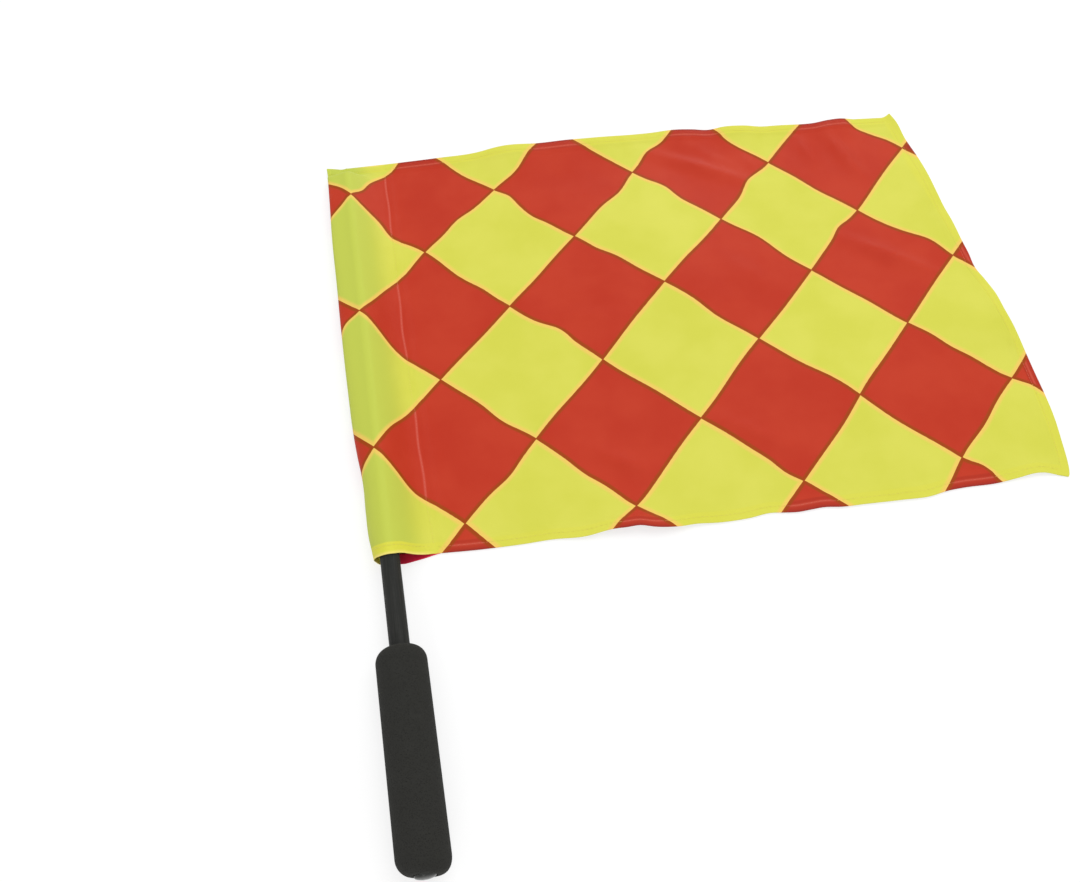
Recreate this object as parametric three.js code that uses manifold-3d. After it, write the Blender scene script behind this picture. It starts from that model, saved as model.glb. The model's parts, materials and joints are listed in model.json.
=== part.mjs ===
// Linesman flag lying on a flat surface, in millimetres, +Z up.
// The pole points along +Y and the cloth reaches out along +X.
// The cloth is one sheet. Its sleeve goes round the pole and is closed at the top.
import * as THREE from 'three';
import { mergeVertices } from 'three/addons/utils/BufferGeometryUtils.js';
import Module from 'manifold-3d';

// Cloth
const CLOTH_HEIGHT = 319;
const CLOTH_REACH = 417;
const FLY_BULGE = 11;
const FLY_BULGE_SHARE = 0.34;
const FLY_DROP = 10;
const CLOTH_THICKNESS = 0.8;
const HEM_WIDTH = 5;
const CLOSING_MARGIN = 1.5;
const SEAM_REACH = 26;
const FOLD_REACH = 14;
const MOUTH_FOLD_REACH = 9;
const TOP_FOLD_REACH = 15;
const FOLD_HEIGHT = 10.5;
const MOUTH_FLARE_LENGTH = 60;

// Pole and its plugs
const POLE_DIAMETER = 11.2;
const POLE_WALL = 1.5;
const BARE_POLE_LENGTH = 56;
const TIP_TO_HEM = 11;
const TOP_PLUG_DOME = 3;
const TOP_PLUG_DEPTH = 14;
const BUTT_PLUG_DOME = 3;
const BUTT_PLUG_DEPTH = 18;
const PLUG_RIM = 1;

// Grip
const GRIP_DIAMETER = 27.8;
const GRIP_LENGTH = 114;
const GRIP_SHOULDER_LENGTH = 8;
const GRIP_SHOULDER_DEPTH = 7.2;

// Thread
const THREAD_DIAMETER = 0.6;

// Clearances and the overrun of a cut
const SLEEVE_CLEARANCE = 0.4;
const FIT_CLEARANCE = 0.3;
const THREAD_CLEARANCE = 0.3;
const CUT_OVERRUN = 4;

// Gentle swells of the lying cloth: height, then place and spread over the panel as shares of
// its reach from the pole and of its height from the mouth hem.
const SWELL_HEIGHT = 6.5;
const SWELL_SHARES = { x: 0.5, y: 0.66, spreadX: 0.24, spreadY: 0.3 };
const HEM_WAVE_HEIGHT = 6;
const HEM_WAVE_SHARES = { x: 0.35, y: 0, spreadX: 0.08, spreadY: 0.07 };
const LOW_SWELL_HEIGHT = 3.5;
const LOW_SWELL_SHARES = { x: 0.74, y: 0.26, spreadX: 0.13, spreadY: 0.18 };
const FLY_FOLD_HEIGHT = 4;
const FLY_FOLD_SHARES = { x: 1, y: 0.36, spreadX: 0.12, spreadY: 0.07 };

// Counts
const ROUND_SEGMENTS = 36;
const SHOULDER_SEGMENTS = 7;
const DOME_SEGMENTS = 5;
const PANEL_STEPS = 12;
const ROW_STEPS = 11;
const CLOSING_STEPS = 3;
const DRAPE_STEPS = 6;
const ARC_STEPS = 5;
const SIDE_STEPS = 4;
const UNDER_STEPS = 3;
const THREAD_SIDES = 6;
const THREAD_STEPS = 44;

// Shape of the sleeve's section
const DRAPE_START_ANGLE = THREE.MathUtils.degToRad(35);
const SIDE_START_ANGLE = THREE.MathUtils.degToRad(-38);
const SEAM_SLOPE_ANGLE = THREE.MathUtils.degToRad(14);
const FLAT_FOLD_SHARE = 0.5;
const UNDER_RUN_SHARE = 0.65;
const HANDLE_SHARE = 0.38;
const RISE_SHARE = 0.5;

// Places along the pole, measured from the mouth hem
const POLE_RADIUS = POLE_DIAMETER / 2;
const GRIP_RADIUS = GRIP_DIAMETER / 2;
const TOP_HEM_LINE = CLOTH_HEIGHT - HEM_WIDTH;
const POLE_TIP = TOP_HEM_LINE - TIP_TO_HEM;
const SLEEVE_END = TOP_HEM_LINE - CLOSING_MARGIN;
const TUBE_TOP = POLE_TIP - TOP_PLUG_DOME;
const GRIP_TOP = -BARE_POLE_LENGTH;
const GRIP_BOTTOM = GRIP_TOP - GRIP_LENGTH;
const TUBE_BOTTOM = GRIP_BOTTOM;

// The pole leans on the grip's upper shoulder and on the sleeve at its tip, so it slopes a little.
const SLEEVE_RADIUS = POLE_RADIUS + SLEEVE_CLEARANCE + CLOTH_THICKNESS;
const SHOULDER_CONTACT = GRIP_TOP - GRIP_SHOULDER_LENGTH;
const SLOPE = (GRIP_RADIUS - SLEEVE_RADIUS) / (POLE_TIP - SHOULDER_CONTACT);
const TILT = Math.atan(SLOPE);
const AXIS_HEIGHT_AT_MOUTH = (GRIP_RADIUS + SHOULDER_CONTACT * SLOPE) * Math.cos(TILT);

const wasm = await Module();
wasm.setup();

// Turns a closed geometry into a manifold solid.
function toSolid(geometry) {
  const bare = geometry.clone();
  bare.deleteAttribute('normal');
  bare.deleteAttribute('uv');
  const merged = mergeVertices(bare);
  const mesh = new wasm.Mesh({
    numProp: 3,
    vertProperties: new Float32Array(merged.attributes.position.array),
    triVerts: new Uint32Array(merged.index.array),
  });
  return new wasm.Manifold(mesh);
}

function toGeometry(solid) {
  const mesh = solid.getMesh();
  const geometry = new THREE.BufferGeometry();
  geometry.setAttribute('position', new THREE.BufferAttribute(mesh.vertProperties, 3));
  geometry.setIndex(new THREE.BufferAttribute(mesh.triVerts, 1));
  geometry.computeVertexNormals();
  return geometry;
}

// Fills an outline that runs from its farthest point back over its top and then under.
function zipOutline(outline) {
  const turn = outline.reduce((least, point, i) => (point.x < outline[least].x ? i : least), 0);
  const triangles = [];
  let over = 0;
  let under = outline.length - 1;
  while (under - over > 1) {
    const overNext = over < turn ? outline[over + 1].x : -Infinity;
    const underNext = under > turn ? outline[under - 1].x : -Infinity;
    if (overNext >= underNext) {
      triangles.push([over, over + 1, under]);
      over += 1;
    } else {
      triangles.push([over, under - 1, under]);
      under -= 1;
    }
  }
  return triangles;
}

// Joins rings with the same number of points into one closed body, with both ends capped.
function sweepRings(rings) {
  const count = rings[0].length;
  const positions = rings.flat().flatMap((point) => [point.x, point.y, point.z]);
  const index = [];
  for (let row = 0; row < rings.length - 1; row += 1) {
    for (let i = 0; i < count; i += 1) {
      const next = (i + 1) % count;
      const a = row * count + i;
      const b = row * count + next;
      index.push(a, a + count, b, b, a + count, b + count);
    }
  }
  const capAt = (row, flipped) => {
    for (const [a, b, c] of zipOutline(rings[row])) {
      const corners = flipped ? [a, c, b] : [a, b, c];
      index.push(...corners.map((corner) => corner + row * count));
    }
  };
  capAt(0, false);
  capAt(rings.length - 1, true);
  const geometry = new THREE.BufferGeometry();
  geometry.setAttribute('position', new THREE.Float32BufferAttribute(positions, 3));
  geometry.setIndex(index);
  return geometry;
}

// A smooth curve between two points that leaves and arrives along the given directions, and
// stays between their heights.
function easeCurve(start, startDirection, end, endDirection, steps) {
  const distance = start.distanceTo(end);
  const rise = Math.abs(end.y - start.y);
  const reach = (direction) => {
    const steepness = Math.max(Math.abs(direction.y), Number.EPSILON);
    return Math.min(distance * HANDLE_SHARE, (rise * RISE_SHARE) / steepness);
  };
  const leave = start.clone().addScaledVector(startDirection, reach(startDirection));
  const arrive = end.clone().addScaledVector(endDirection, -reach(endDirection));
  return new THREE.CubicBezierCurve(start, leave, arrive, end).getPoints(steps);
}

function bell(distance) {
  return Math.exp(-distance * distance);
}

function swell(height, shares, x, y) {
  const across = (x / CLOTH_REACH - shares.x) / shares.spreadX;
  const along = (y / CLOTH_HEIGHT - shares.y) / shares.spreadY;
  return height * bell(across) * bell(along);
}

// Height of the panel's underside above the surface it lies on.
function panelLift(x, y) {
  const fromSeam = THREE.MathUtils.smoothstep(x, SEAM_REACH, SEAM_REACH + FOLD_REACH * 2);
  const waves = swell(SWELL_HEIGHT, SWELL_SHARES, x, y)
    + swell(HEM_WAVE_HEIGHT, HEM_WAVE_SHARES, x, y)
    + swell(LOW_SWELL_HEIGHT, LOW_SWELL_SHARES, x, y)
    + swell(FLY_FOLD_HEIGHT, FLY_FOLD_SHARES, x, y);
  return waves * fromSeam;
}

function axisHeight(y) {
  return AXIS_HEIGHT_AT_MOUTH - y * SLOPE;
}

// The sleeve hugs the pole's top as far as its tip, and closes flat just before the top hem line.
function closing(y) {
  return THREE.MathUtils.smoothstep(y, POLE_TIP, SLEEVE_END);
}

function sleeveRadius(y) {
  return THREE.MathUtils.lerp(SLEEVE_RADIUS, CLOTH_THICKNESS, closing(y));
}

function sleeveCentre(y) {
  return y > POLE_TIP ? sleeveRadius(y) : axisHeight(y);
}

function foldReach(y) {
  const fromMouth = THREE.MathUtils.smoothstep(y, 0, MOUTH_FLARE_LENGTH);
  const toTop = THREE.MathUtils.smoothstep(y, POLE_TIP - MOUTH_FLARE_LENGTH, CLOTH_HEIGHT);
  const reach = THREE.MathUtils.lerp(MOUTH_FOLD_REACH, FOLD_REACH, fromMouth);
  return THREE.MathUtils.lerp(reach, TOP_FOLD_REACH, toTop);
}

// The sleeve's outer fold hangs beside the pole, above the surface.
function foldHeight(y) {
  return THREE.MathUtils.lerp(FOLD_HEIGHT, CLOTH_THICKNESS * FLAT_FOLD_SHARE, closing(y));
}

// Points of the sleeve's outer section from the seam, over the pole and back along the underside.
function sleeveSection(y) {
  const radius = sleeveRadius(y);
  const centre = sleeveCentre(y);
  const around = (angle) => new THREE.Vector2(
    radius * Math.sin(angle),
    centre + radius * Math.cos(angle),
  );
  const heading = (angle) => new THREE.Vector2(-Math.cos(angle), Math.sin(angle));
  const down = new THREE.Vector2(0, -1);
  const right = new THREE.Vector2(1, 0);

  const seam = new THREE.Vector2(SEAM_REACH, CLOTH_THICKNESS);
  const crown = around(DRAPE_START_ANGLE);
  const drape = easeCurve(seam, heading(SEAM_SLOPE_ANGLE), crown, heading(DRAPE_START_ANGLE), DRAPE_STEPS);
  const arc = [];
  for (let i = 1; i <= ARC_STEPS; i += 1) {
    arc.push(around(THREE.MathUtils.lerp(DRAPE_START_ANGLE, SIDE_START_ANGLE, i / ARC_STEPS)));
  }
  const foldPoint = new THREE.Vector2(-foldReach(y), foldHeight(y));
  const underStart = new THREE.Vector2(foldPoint.x + foldPoint.y * UNDER_RUN_SHARE, 0);
  const side = easeCurve(arc.at(-1), heading(SIDE_START_ANGLE), foldPoint, down, SIDE_STEPS);
  const inwards = underStart.clone().sub(foldPoint).normalize();
  const under = easeCurve(foldPoint, inwards, underStart, right, SIDE_STEPS);
  const points = [...drape, ...arc, ...side.slice(1), ...under.slice(1)];
  for (let i = 1; i <= UNDER_STEPS; i += 1) {
    points.push(new THREE.Vector2(THREE.MathUtils.lerp(underStart.x, SEAM_REACH, i / UNDER_STEPS), 0));
  }
  return points;
}

// Moves the points between an outline's ends inwards, or outwards where the inset is below zero.
function insetPoints(outline, inset) {
  const moved = [];
  for (let i = 1; i < outline.length - 1; i += 1) {
    const along = outline[i + 1].clone().sub(outline[i - 1]).normalize();
    const inward = new THREE.Vector2(-along.y, along.x);
    moved.push(outline[i].clone().addScaledVector(inward, inset));
  }
  return moved;
}

// The sleeve's hollow lies one thickness inside its section, and stops short of the seam.
function hollowSection(y) {
  const inner = insetPoints(sleeveSection(y), CLOTH_THICKNESS);
  return [...inner, new THREE.Vector2(inner[0].x, CLOTH_THICKNESS)];
}

// The fly edge bows outwards between its corners, most at the given share of its height.
function flyReach(y) {
  const share = (y / CLOTH_HEIGHT) ** (Math.log(0.5) / Math.log(FLY_BULGE_SHARE));
  return CLOTH_REACH + FLY_BULGE * Math.sin(Math.PI * share);
}

// The cloth's rows lie a little lower towards the fly.
function rowDrop(x) {
  const beyondSeam = Math.max(0, x - SEAM_REACH);
  return FLY_DROP * beyondSeam / (CLOTH_REACH - SEAM_REACH);
}

function clothRows() {
  const rows = [0, HEM_WIDTH];
  for (let i = 1; i < ROW_STEPS; i += 1) {
    rows.push(THREE.MathUtils.lerp(HEM_WIDTH, TUBE_TOP, i / ROW_STEPS));
  }
  rows.push(TUBE_TOP);
  for (let i = 0; i <= CLOSING_STEPS; i += 1) {
    rows.push(THREE.MathUtils.lerp(POLE_TIP, SLEEVE_END, i / CLOSING_STEPS));
  }
  return [...rows, TOP_HEM_LINE, CLOTH_HEIGHT];
}

// Distances from the pole's axis of the panel's grid, from just beyond the seam to the fly.
function panelPlaces(y) {
  const places = [];
  const flyLine = flyReach(y) - HEM_WIDTH;
  for (let i = 1; i <= PANEL_STEPS; i += 1) {
    places.push(THREE.MathUtils.lerp(SEAM_REACH, flyLine, i / PANEL_STEPS));
  }
  places.push(flyReach(y));
  return places;
}

function panelPoint(x, y, above) {
  return new THREE.Vector3(x, y - rowDrop(x), panelLift(x, y) + above);
}

function clothRing(y) {
  const places = panelPlaces(y);
  const top = places.map((x) => panelPoint(x, y, CLOTH_THICKNESS)).reverse();
  const bottom = places.map((x) => panelPoint(x, y, 0));
  const sleeve = sleeveSection(y).map((p) => new THREE.Vector3(p.x, y, p.y));
  return [...top, ...sleeve, ...bottom];
}

function hollowRing(y) {
  return hollowSection(Math.max(y, 0)).map((p) => new THREE.Vector3(p.x, y, p.y));
}

function clothGeometry() {
  const rows = clothRows();
  const hollowEnd = POLE_TIP + SLEEVE_CLEARANCE;
  const hollowRows = [-CUT_OVERRUN, ...rows.filter((y) => y > 0 && y < POLE_TIP), hollowEnd];
  const sheet = toSolid(sweepRings(rows.map(clothRing)));
  const hollow = toSolid(sweepRings(hollowRows.map(hollowRing)));
  return toGeometry(sheet.subtract(hollow));
}

// A line of stitching that follows the cloth's grid, just above it.
class StitchLine extends THREE.Curve {
  constructor(points) {
    super();
    this.points = points;
  }

  getPoint(t, target = new THREE.Vector3()) {
    const last = this.points.length - 1;
    const place = Math.min(t * last, last);
    const from = Math.min(Math.floor(place), last - 1);
    return target.lerpVectors(this.points[from], this.points[from + 1], place - from);
  }
}

function threadGeometry(points) {
  const section = new THREE.Shape();
  section.absarc(0, 0, THREAD_DIAMETER / 2, 0, Math.PI * 2, false);
  return new THREE.ExtrudeGeometry(section, {
    steps: THREAD_STEPS,
    curveSegments: THREAD_SIDES / 2,
    extrudePath: new StitchLine(points),
  });
}

const THREAD_REST = THREAD_CLEARANCE + THREAD_DIAMETER / 2;
const THREAD_LIFT = CLOTH_THICKNESS + THREAD_REST;
const THREAD_SPACE = 2 * THREAD_DIAMETER;

// The hems' stitching on the panel starts just beyond the sleeve's seam.
function hemThread(y) {
  const places = panelPlaces(y).slice(0, -1);
  const points = places.map((x) => panelPoint(x, y, THREAD_LIFT));
  const seam = panelPoint(SEAM_REACH, y, THREAD_LIFT);
  const start = seam.lerp(points[0], THREAD_SPACE / seam.distanceTo(points[0]));
  return threadGeometry([start, ...points]);
}

function flyThread() {
  const rows = clothRows().filter((y) => y > HEM_WIDTH && y < TOP_HEM_LINE);
  return threadGeometry(rows.map((y) => panelPoint(flyReach(y) - HEM_WIDTH, y, THREAD_LIFT)));
}

function seamThread() {
  const ends = [HEM_WIDTH + THREAD_SPACE, TOP_HEM_LINE - THREAD_SPACE];
  const lift = THREAD_LIFT + THREAD_CLEARANCE;
  return threadGeometry(ends.map((y) => new THREE.Vector3(SEAM_REACH, y, lift)));
}

// Stitching that goes over the sleeve from its seam to its outer fold.
function sleeveThread(y) {
  const line = insetPoints(sleeveSection(y), -THREAD_REST);
  const over = line.slice(0, DRAPE_STEPS + ARC_STEPS + SIDE_STEPS - 1);
  return threadGeometry(over.map((p) => new THREE.Vector3(p.x, y, p.y)));
}

// A body of revolution about the pole's axis. Its outline gives radius and place along the pole.
function turned(outline) {
  const closed = [...outline, outline[0]];
  return new THREE.LatheGeometry(closed.map(([r, y]) => new THREE.Vector2(r, y)), ROUND_SEGMENTS);
}

function quarterRound(edge, end, depth, length, steps) {
  const points = [];
  for (let i = 0; i <= steps; i += 1) {
    const angle = (Math.PI / 2) * (i / steps);
    const radius = edge - depth * (1 - Math.cos(angle));
    points.push([radius, end - length * (1 - Math.sin(angle))]);
  }
  return points;
}

function tubeGeometry() {
  const bore = POLE_RADIUS - POLE_WALL;
  return turned([
    [bore, TUBE_BOTTOM],
    [POLE_RADIUS, TUBE_BOTTOM],
    [POLE_RADIUS, TUBE_TOP],
    [bore, TUBE_TOP],
  ]);
}

function gripGeometry() {
  const bore = POLE_RADIUS + FIT_CLEARANCE;
  const depth = GRIP_SHOULDER_DEPTH;
  const length = GRIP_SHOULDER_LENGTH;
  const upper = quarterRound(GRIP_RADIUS, GRIP_TOP, depth, length, SHOULDER_SEGMENTS);
  const lower = quarterRound(GRIP_RADIUS, -GRIP_BOTTOM, depth, length, SHOULDER_SEGMENTS)
    .map(([r, y]) => [r, -y]).reverse();
  return turned([[bore, GRIP_BOTTOM], ...lower, ...upper, [bore, GRIP_TOP]]);
}

// A plug whose stem fills the tube's end and whose domed head covers the wall.
// It is drawn with the head towards +Y from the tube's end at zero.
function plugProfile(dome, depth) {
  const stem = POLE_RADIUS - POLE_WALL - FIT_CLEARANCE;
  const seat = FIT_CLEARANCE;
  const head = [[POLE_RADIUS, seat]];
  for (let i = 0; i <= DOME_SEGMENTS; i += 1) {
    const angle = (Math.PI / 2) * (i / DOME_SEGMENTS);
    const radius = i === DOME_SEGMENTS ? 0 : POLE_RADIUS * Math.cos(angle);
    head.push([radius, seat + PLUG_RIM + (dome - PLUG_RIM - seat) * Math.sin(angle)]);
  }
  return [[0, -depth], [stem, -depth], [stem, seat], ...head];
}

function plugGeometry(dome, depth) {
  const profile = plugProfile(dome, depth).map(([r, y]) => new THREE.Vector2(r, y));
  return new THREE.LatheGeometry(profile, ROUND_SEGMENTS);
}

function material(color, roughness) {
  return new THREE.MeshStandardMaterial({ color, roughness, metalness: 0 });
}

function part(name, geometry, look, parent) {
  const mesh = new THREE.Mesh(geometry, look);
  mesh.name = name;
  parent.add(mesh);
  return mesh;
}

function buildPole() {
  const pole = new THREE.Group();
  pole.position.z = AXIS_HEIGHT_AT_MOUTH;
  pole.rotation.x = -TILT;
  part('pole_tube', tubeGeometry(), material(0x3c3c39, 0.55), pole);
  part('foam_grip', gripGeometry(), material(0x2e2e2c, 0.95), pole);
  const topPlug = part('pole_top_plug', plugGeometry(TOP_PLUG_DOME, TOP_PLUG_DEPTH), material(0x2f2f2e, 0.4), pole);
  topPlug.position.y = TUBE_TOP;
  const buttPlug = part('butt_plug', plugGeometry(BUTT_PLUG_DOME, BUTT_PLUG_DEPTH), material(0x4a4b49, 0.35), pole);
  buttPlug.position.y = TUBE_BOTTOM;
  buttPlug.rotation.x = Math.PI;
  return pole;
}

function buildCloth() {
  const cloth = new THREE.Group();
  part('flag_cloth', clothGeometry(), material(0xdee450, 0.8), cloth);
  part('sleeve_seam_thread', seamThread(), material(0xe4cf66, 0.8), cloth);
  part('bottom_hem_thread', hemThread(HEM_WIDTH), material(0xe4cf66, 0.8), cloth);
  part('top_hem_thread', hemThread(TOP_HEM_LINE), material(0xe4cf66, 0.8), cloth);
  part('fly_hem_thread', flyThread(), material(0xe4cf66, 0.8), cloth);
  part('mouth_hem_thread', sleeveThread(HEM_WIDTH), material(0xe4cf66, 0.8), cloth);
  part('sleeve_closing_thread', sleeveThread(TOP_HEM_LINE), material(0xe4cf66, 0.8), cloth);
  return cloth;
}

// The origin is under the middle of the whole flag, on the surface that it lies on.
const flag = new THREE.Group();
flag.add(buildPole(), buildCloth());
flag.updateMatrixWorld(true);
const box = new THREE.Box3().setFromObject(flag, true);
const middle = box.getCenter(new THREE.Vector3());
flag.position.set(-middle.x, -middle.y, -box.min.z);

export default flag;
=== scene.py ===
"""Linesman flag lying on a pale floor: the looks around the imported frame."""
import json
import math

import bpy
import numpy as np
from mathutils import Euler, Matrix, Vector


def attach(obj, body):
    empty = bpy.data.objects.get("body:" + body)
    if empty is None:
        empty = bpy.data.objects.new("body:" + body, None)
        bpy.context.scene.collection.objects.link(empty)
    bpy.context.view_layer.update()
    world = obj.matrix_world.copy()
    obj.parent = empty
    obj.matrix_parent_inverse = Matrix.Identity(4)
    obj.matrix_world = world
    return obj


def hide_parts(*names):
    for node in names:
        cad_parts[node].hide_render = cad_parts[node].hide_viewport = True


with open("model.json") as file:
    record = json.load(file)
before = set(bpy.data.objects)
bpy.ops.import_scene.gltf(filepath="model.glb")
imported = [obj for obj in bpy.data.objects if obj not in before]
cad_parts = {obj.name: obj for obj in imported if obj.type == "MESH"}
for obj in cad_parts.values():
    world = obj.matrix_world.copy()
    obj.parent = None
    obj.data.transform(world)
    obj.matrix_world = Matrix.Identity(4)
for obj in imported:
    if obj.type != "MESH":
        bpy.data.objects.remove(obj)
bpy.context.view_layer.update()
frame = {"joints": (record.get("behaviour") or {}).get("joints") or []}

MM = 0.001
JOINT = frame["joints"][0]
# The part's own millimetres start where the pole's axis passes the mouth of the sleeve.
ORIGIN = np.array([JOINT["pos_m"][0], JOINT["pos_m"][1], 0.0])
SLOPE = -JOINT["axis"][2] / JOINT["axis"][1]
AXIS_AT_MOUTH = JOINT["pos_m"][2] / MM

# Cloth, in millimetres from the pole's axis (x) and from the mouth hem (y)
HEIGHT = 319.0
REACH = 417.0
# How far the fly edge bulges, and at which share of the height it bulges most
BULGE = 11.0
BULGE_SHARE = 0.34
# How much lower along the pole the fly edge lies than the sleeve
DROP = 10.0
# The hems' stitches, from the edge, and the width of the folded hem
HEM = 5.0
BOTTOM_HEM = 4.0
FLAP = 6.5
# The sleeve: its seam and the allowance beyond it, and where it starts to close and is flat
SEAM = 26.0
SEAM_ALLOWANCE = 3.5
POLE_TIP = 303.0
SLEEVE_END = 312.5
SLEEVE_RADIUS = 6.8
# Height of the folded cloth's face, how much lower a single ply lies, its thickness, and the
# step from ply to ply
FULL = 0.8
SINK = 0.52
PLY = 0.16
PITCH = 0.2
# How far the panel goes on before it is a single ply, and before it swells, ripples or creeps
FLAP_FADE = 3.5
BACK_FADE = 2.0
ALLOWANCE_FADE = 4.0
SWELL_START = 28.0
RIPPLE_START = (4.0, 40.0)
PULL_START = (-18.0, 4.0)
# Ripples of the lying cloth: their share where it lies flat, what each raised height adds to
# that, and how far they stand off the surface
RIPPLE_SHARE = 0.25
RAISED_SHARE = 0.30
RAISED_HEIGHT = 6.0
RIPPLE_RISE = 0.55
# A row of stitches presses the hem in.
PUCKER = 0.10
PUCKER_WIDTH = 1.0

# The sleeve's fold beside the pole: its height, its height where the sleeve is closed flat, and
# how far it turns in before it lands, as a share of that height
FOLD_HEIGHT = 9.0
FLAT_FOLD = 0.4
UNDER_RUN_SHARE = 0.65
# The sleeve's line leaves the panel at one angle and touches the pole's circle between two others.
LEAVING = math.radians(14)
TOUCHING = (math.radians(35), math.radians(-22))
# How far the curves' handles reach: shares of the way and of the rise, and for the stretch beside
# the pole shares of its width and rise, and at most this far down
HANDLE_SHARE = 0.38
RISE_SHARE = 0.5
SIDE_SHARES = (0.5, 0.6)
SIDE_MOST = 4.0
# How the fold turns in: along its way, and down
TUCK = 0.6
TUCK_DOWN = 0.4
# The layer under the pole: its height, its height where it lands, and the ramp to the seam
UNDER_HEIGHT = 0.05
LANDING_HEIGHT = 0.03
UNDER_RISE = 0.25
UNDER_RAMP = (8.0, 1.0)
# The closed corner at the tip lifts off the surface.
CORNER_LIFT = 3.0
# The seam as it is sewn: how far out of line it starts, how much it leans over the whole height,
# and its waves: size, length / 2 pi, and phase
SEAM_START = -1.4
SEAM_LEAN = 2.5
SEAM_WAVES = ((0.35, 7.0, 0.0), (0.25, 17.0, 1.0))

# Pole, grip and plugs: radii, and places along the pole
POLE_R = 5.6
WALL = 1.5
TUBE = (-170.0, 300.0)
TUBE_ROUND = 0.35
ROUND_SHARE = 0.3
GRIP_R = 13.9
GRIP = (-170.0, -56.0)
GRIP_GAP = 0.12
# Depth and length of the grip's rounded ends, and how its foam turns in to the bore
SHOULDER = (7.2, 8.0)
LIP_WIDTH = 0.3
LIP_DEPTHS = (0.15, 1.0)
# The foam's lower end is cut askew: how much longer it is on the right, and how far up that shows
END_SLANT = 2.6
SLANT_REACH = 16.0
# A plug: how high its dome stands, how deep its stem goes, its seat on the tube, and its rim
PLUG_DOME = 3.0
PLUG_STEM = 14.0
PLUG_SEAT = 0.3
PLUG_RIM = 1.0
PLUG_GAP = 0.3
PLUG_BEVEL = 0.15
RIM_BEVEL = 0.2
RIM_STEP = 0.08
DOME_START = 0.06
CENTRE_R = 0.02

# The print: half a diamond's diagonals, and how the pole lies against the print's rows
HALF_A = 52.0
HALF_B = 53.0
TURN = 0.024
PRINT_X = 7.75
PRINT_Y = 18.0
# The print's own place on the sleeve: moved left round one place, and a little down on the pole
PRINT_LEFT = 2.2
LEFT_PLACE = (10.0, 175.0)
LEFT_SPREAD = (60.0, 80.0)
PRINT_DOWN = 1.9
DOWN_REACH = 24.0

# A stitch: its length and the gap to the next one, its thread's radius, and along it the shares
# of its length, its taper and its height over the cloth
STITCH_LENGTH = 2.5
STITCH_GAP = 0.35
THREAD_R = 0.11
THREAD_SIDES = 6
STITCH_SHARES = np.array([0.0, 0.1, 0.35, 0.65, 0.9, 1.0])
STITCH_TAPER = np.array([0.55, 0.95, 1.0, 1.0, 0.95, 0.55])
STITCH_RISE = np.array([-0.15, -0.009, 0.09, 0.09, -0.009, -0.15])
# Unevenness of the stitches: their length as shares, how far off the line, and how slanted
UNEVEN_SHARES = (0.93, 1.05)
STITCH_OFF = 0.07
STITCH_SLANT = 0.12
# The seam's stitches stop short of the hems, and come out this high under the sleeve.
SEAM_SHORT = 1.2
UNDER_SEAM = 0.30

# Swells of the lying cloth: height in millimetres, place (x, y) and spread (x, y) as shares
SWELLS = (
    (8.0, 0.51, 0.60, 0.16, 0.27),
    (6.0, 0.35, 0.00, 0.07, 0.04),
    (3.5, 0.74, 0.26, 0.13, 0.18),
    (4.0, 1.00, 0.36, 0.12, 0.07),
)

# Soft creases: height, from (x, y), to (x, y), and width, all in millimetres
RIDGES = (
    (2.8, 227, 298, 289, 265, 6.0),
    (0.7, 255, 304, 283, 280, 4.5),
    (1.0, 292, 292, 298, 275, 4.0),
    (2.6, 362, 307, 374, 259, 6.0),
    (1.7, 339, 305, 344, 276, 5.0),
    (3.0, 340, 206, 393, 163, 7.0),
    (2.2, 209, 71, 248, 43, 6.0),
    (2.0, 128, 59, 164, 36, 6.0),
    (0.7, 139, 161, 174, 151, 6.0),
    (1.5, 246, 200, 272, 164, 9.0),
    (0.9, 424, 104, 421, 90, 3.0),
    (0.8, 414, 114, 423, 118, 2.2),
)

# Pulls in the cloth's own plane: move (x, y), place (x, y), spread (x, y), all in millimetres
PULLS = (
    (0.0, 2.6, 30.0, 0.0, 36.0, 34.0),
    (0.0, -2.2, 148.0, 18.0, 34.0, 26.0),
    (-1.4, 0.0, 60.0, 170.0, 110.0, 90.0),
    (-2.6, 1.5, 358.0, 20.0, 48.0, 42.0),
    (-1.4, -1.2, 355.0, 230.0, 60.0, 50.0),
    (1.5, -0.6, 240.0, 42.0, 95.0, 60.0),
    (1.3, 0.0, 255.0, 165.0, 80.0, 50.0),
    (-0.8, -0.9, 90.0, 125.0, 70.0, 45.0),
    (0.0, 2.3, 47.0, 232.0, 35.0, 35.0),
    (0.0, 2.2, 206.0, 284.0, 42.0, 28.0),
    (0.0, -2.0, 257.0, 222.0, 42.0, 35.0),
)

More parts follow.
